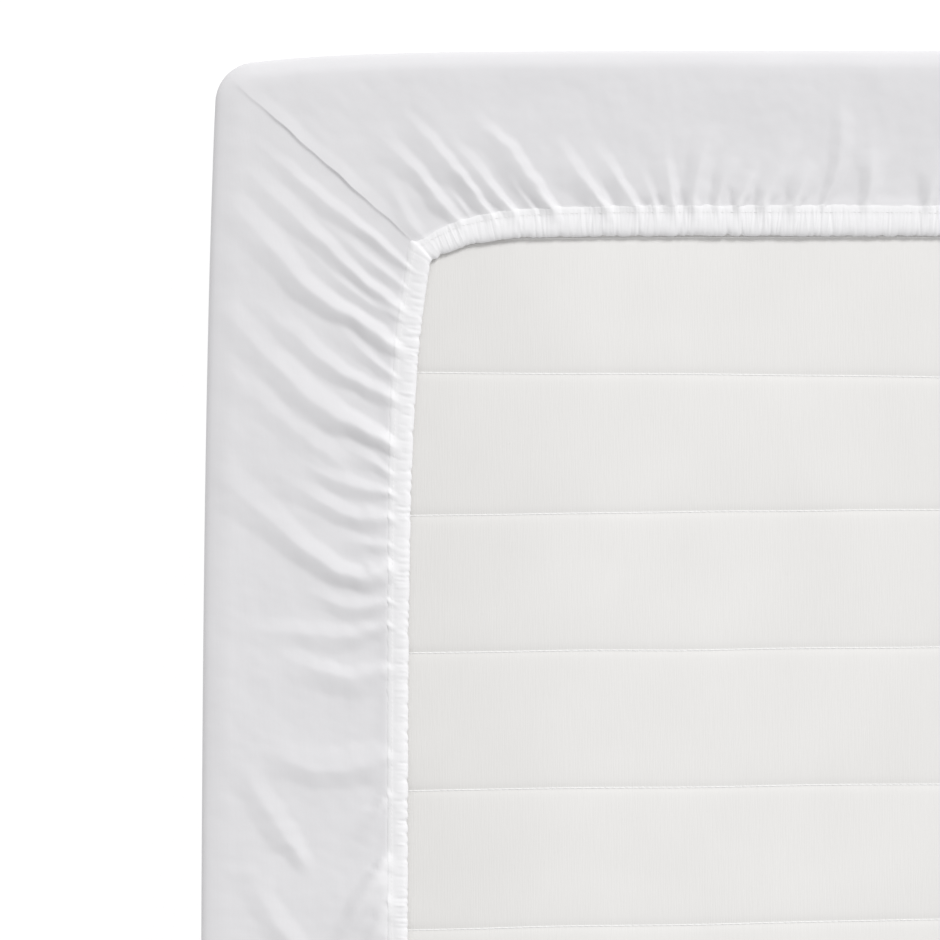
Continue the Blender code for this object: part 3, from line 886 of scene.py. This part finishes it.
thread_white, thread_shader = new_material("white_thread", (0.86, 0.855, 0.85), 0.7, 0.2, 0.4)
tree = thread_white.node_tree
place = tree.nodes.new("ShaderNodeTexCoord").outputs["Object"]
twist = stretched_noise(tree, place, 900.0, 1.0, (1.0, 1.0, 1.0))
bump(tree, thread_shader, twist, 0.0002, 0.4)

hem_stitch = 0.0034
hem_stitches = bmesh.new()
stitch_line = hem_spots[4]
last = 0
for column in range(1, hem_columns):
    if hem_along[column] - hem_along[last] >= hem_stitch:
        sew(hem_stitches, Vector(stitch_line[last]), Vector(stitch_line[column]), 0.00022, 0.14)
        last = column
hem_thread = thread_piece("hem_stitches", hem_stitches, thread_white)

channel_stitches = bmesh.new()
top_spots = np.array([v.co for v in ticking_cover.data.vertices])
row_count = across_steps + 1
channel_stitch = 0.0055
channel_half_run = 0.298
channels_end = 0.86
for index, y in enumerate(row_lines):
    if abs(y) > channels_end or not any(abs(y - line) < 1e-7 for line in seam_lines):
        continue
    seam_points = top_spots[index * row_count : (index + 1) * row_count]
    seam_x = np.arange(-channel_half_run, channel_half_run, channel_stitch)
    seam_y = np.interp(seam_x, seam_points[:, 0], seam_points[:, 1])
    seam_z = np.interp(seam_x, seam_points[:, 0], seam_points[:, 2])
    sewn = [Vector(spot) for spot in zip(seam_x, seam_y, seam_z)]
    for start, end in zip(sewn, sewn[1:]):
        sew(channel_stitches, start, end, 0.0006, -0.55)
channel_thread = thread_piece("channel_stitches", channel_stitches, thread_white)
bpy.data.meshes.remove(stitch_mesh)

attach(hem_thread, "root")
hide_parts("fitted_sheet")
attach(channel_thread, "root")
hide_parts("mattress")


# The floor, the light and the camera. A pale floor, soft light from the head end and the right,
# and a long lens straight above the corner.
stage = bmesh.new()
bmesh.ops.create_grid(stage, x_segments=1, y_segments=1, size=30.0)
mesh = bpy.data.meshes.new("floor")
stage.to_mesh(mesh)
stage.free()
floor = bpy.data.objects.new("floor", mesh)
bpy.context.collection.objects.link(floor)
floor_material, floor_shader = new_material("pale_floor", (0.20, 0.20, 0.20), 0.9, 0.0, 0.5)
floor_shader.inputs["Emission Color"].default_value = (1.0, 1.0, 1.0, 1.0)
floor_shader.inputs["Emission Strength"].default_value = 0.87
mesh.materials.append(floor_material)

world = bpy.data.worlds.new("studio")
world.use_nodes = True
world.node_tree.nodes["Background"].inputs["Color"].default_value = (1.0, 1.0, 1.0, 1.0)
world.node_tree.nodes["Background"].inputs["Strength"].default_value = 0.655
bpy.context.scene.world = world

key = bpy.data.lights.new("key", "SUN")
key.energy = 1.82
key.angle = radians(20)
key_light = bpy.data.objects.new("key", key)
key_turn = radians(33)
key_height = radians(39)
key_from = Vector((sin(key_turn) * cos(key_height), cos(key_turn) * cos(key_height), sin(key_height)))
key_light.rotation_euler = key_from.to_track_quat("Z", "Y").to_euler()
bpy.context.collection.objects.link(key_light)

view_width = 0.752
view_distance = 3.6
lens = bpy.data.cameras.new("camera")
lens.sensor_width = 36.0
lens.lens = lens.sensor_width * view_distance / view_width
lens.clip_end = 50.0
camera = bpy.data.objects.new("camera", lens)
camera.location = (-0.2353, 0.6661, border_height + view_distance)
bpy.context.collection.objects.link(camera)
bpy.context.scene.camera = camera
bpy.context.scene.view_settings.view_transform = "Standard"
